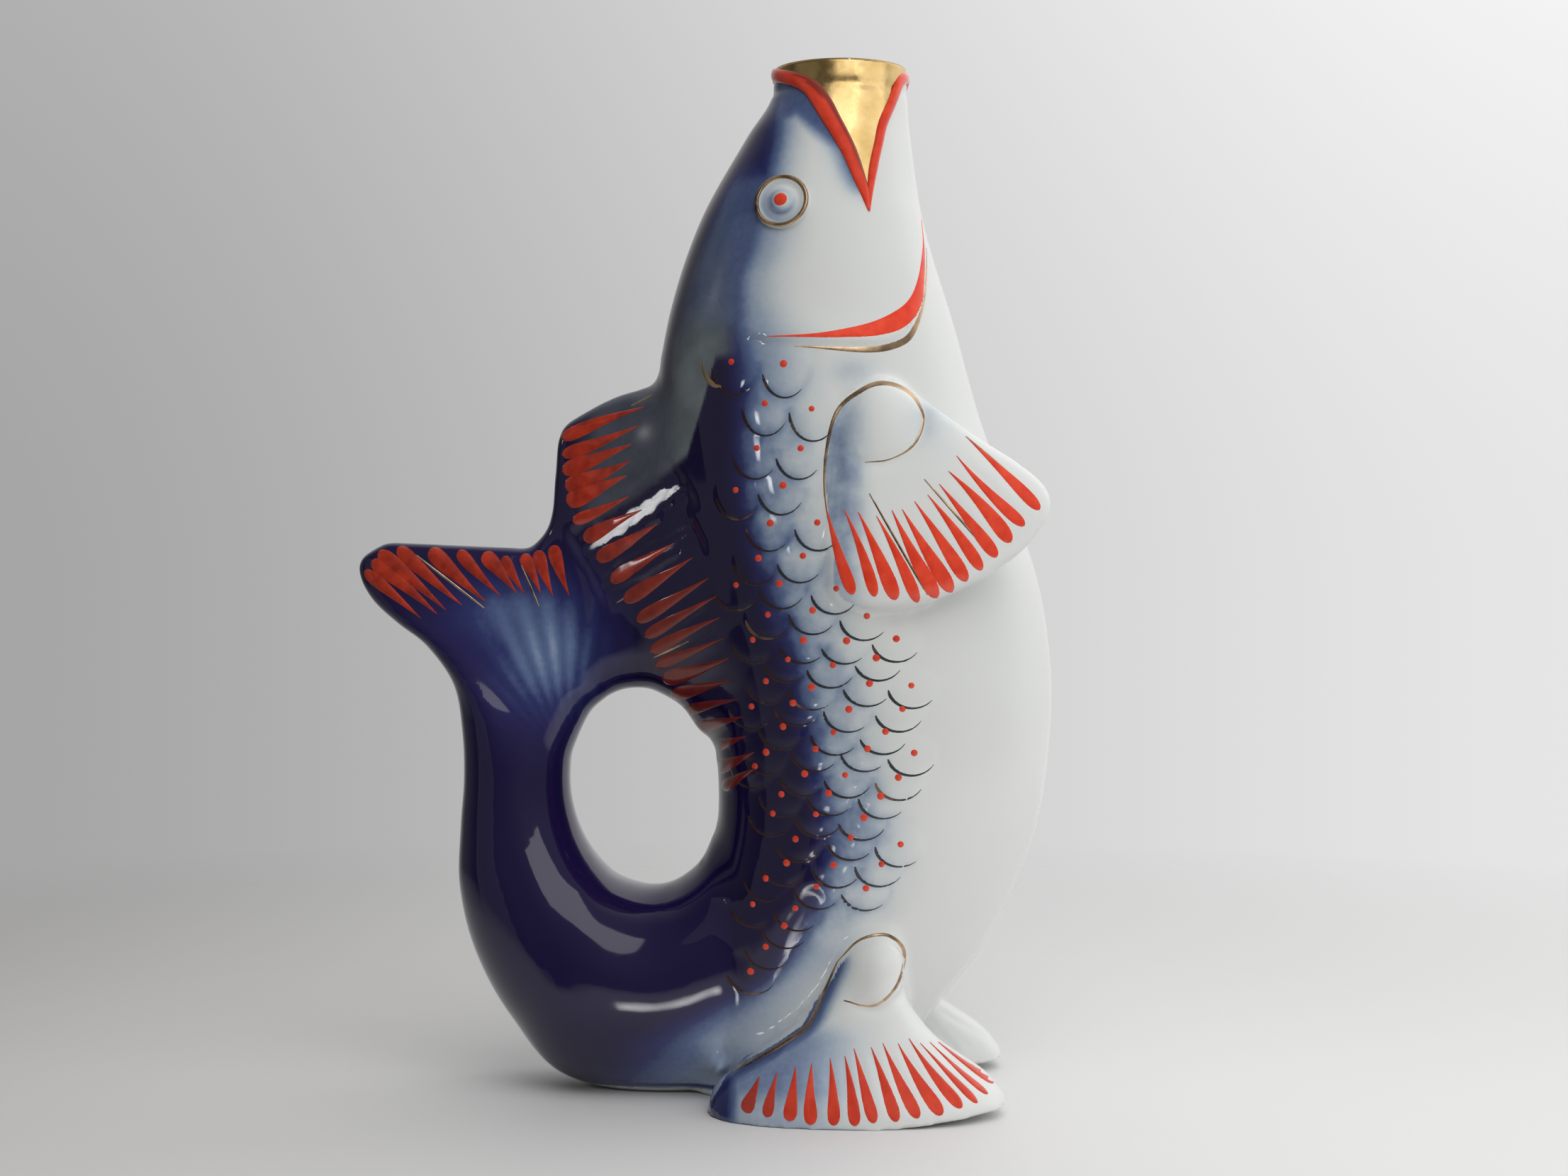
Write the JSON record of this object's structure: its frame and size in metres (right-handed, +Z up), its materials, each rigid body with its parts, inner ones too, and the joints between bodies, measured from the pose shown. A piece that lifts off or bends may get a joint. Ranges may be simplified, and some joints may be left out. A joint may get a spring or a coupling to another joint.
{
  "type": "fish carafe",
  "caption": "Glazed porcelain carafe shaped as an upright fish: pours from the mouth, tail curls into a finger loop, stands on flat base and foot fins.",
  "frame": {"origin": "on the table, on the flat underside of the body, in the middle plane", "axes": "+Z up towards the mouth, +X towards the fish's belly, +Y towards its left side"},
  "size_m": [0.1748, 0.1026, 0.2545],
  "materials": {
    "porcelain": "gloss",
    "cobalt_glaze": "gloss",
    "red_enamel": "gloss",
    "gold_lustre": "gloss"
  },
  "bodies": {
    "root": {"body_casting": "porcelain", "tail_casting": "cobalt_glaze", "caudal_fin": "cobalt_glaze", "dorsal_fin": "cobalt_glaze", "pectoral_fin_right": "porcelain", "pectoral_fin_left": "porcelain", "pelvic_fin_right": "porcelain", "pelvic_fin_left": "porcelain", "eye_right": "porcelain", "eye_left": "porcelain", "upper_lip": "red_enamel", "lower_lip": "red_enamel"}
  },
  "joints": []
}
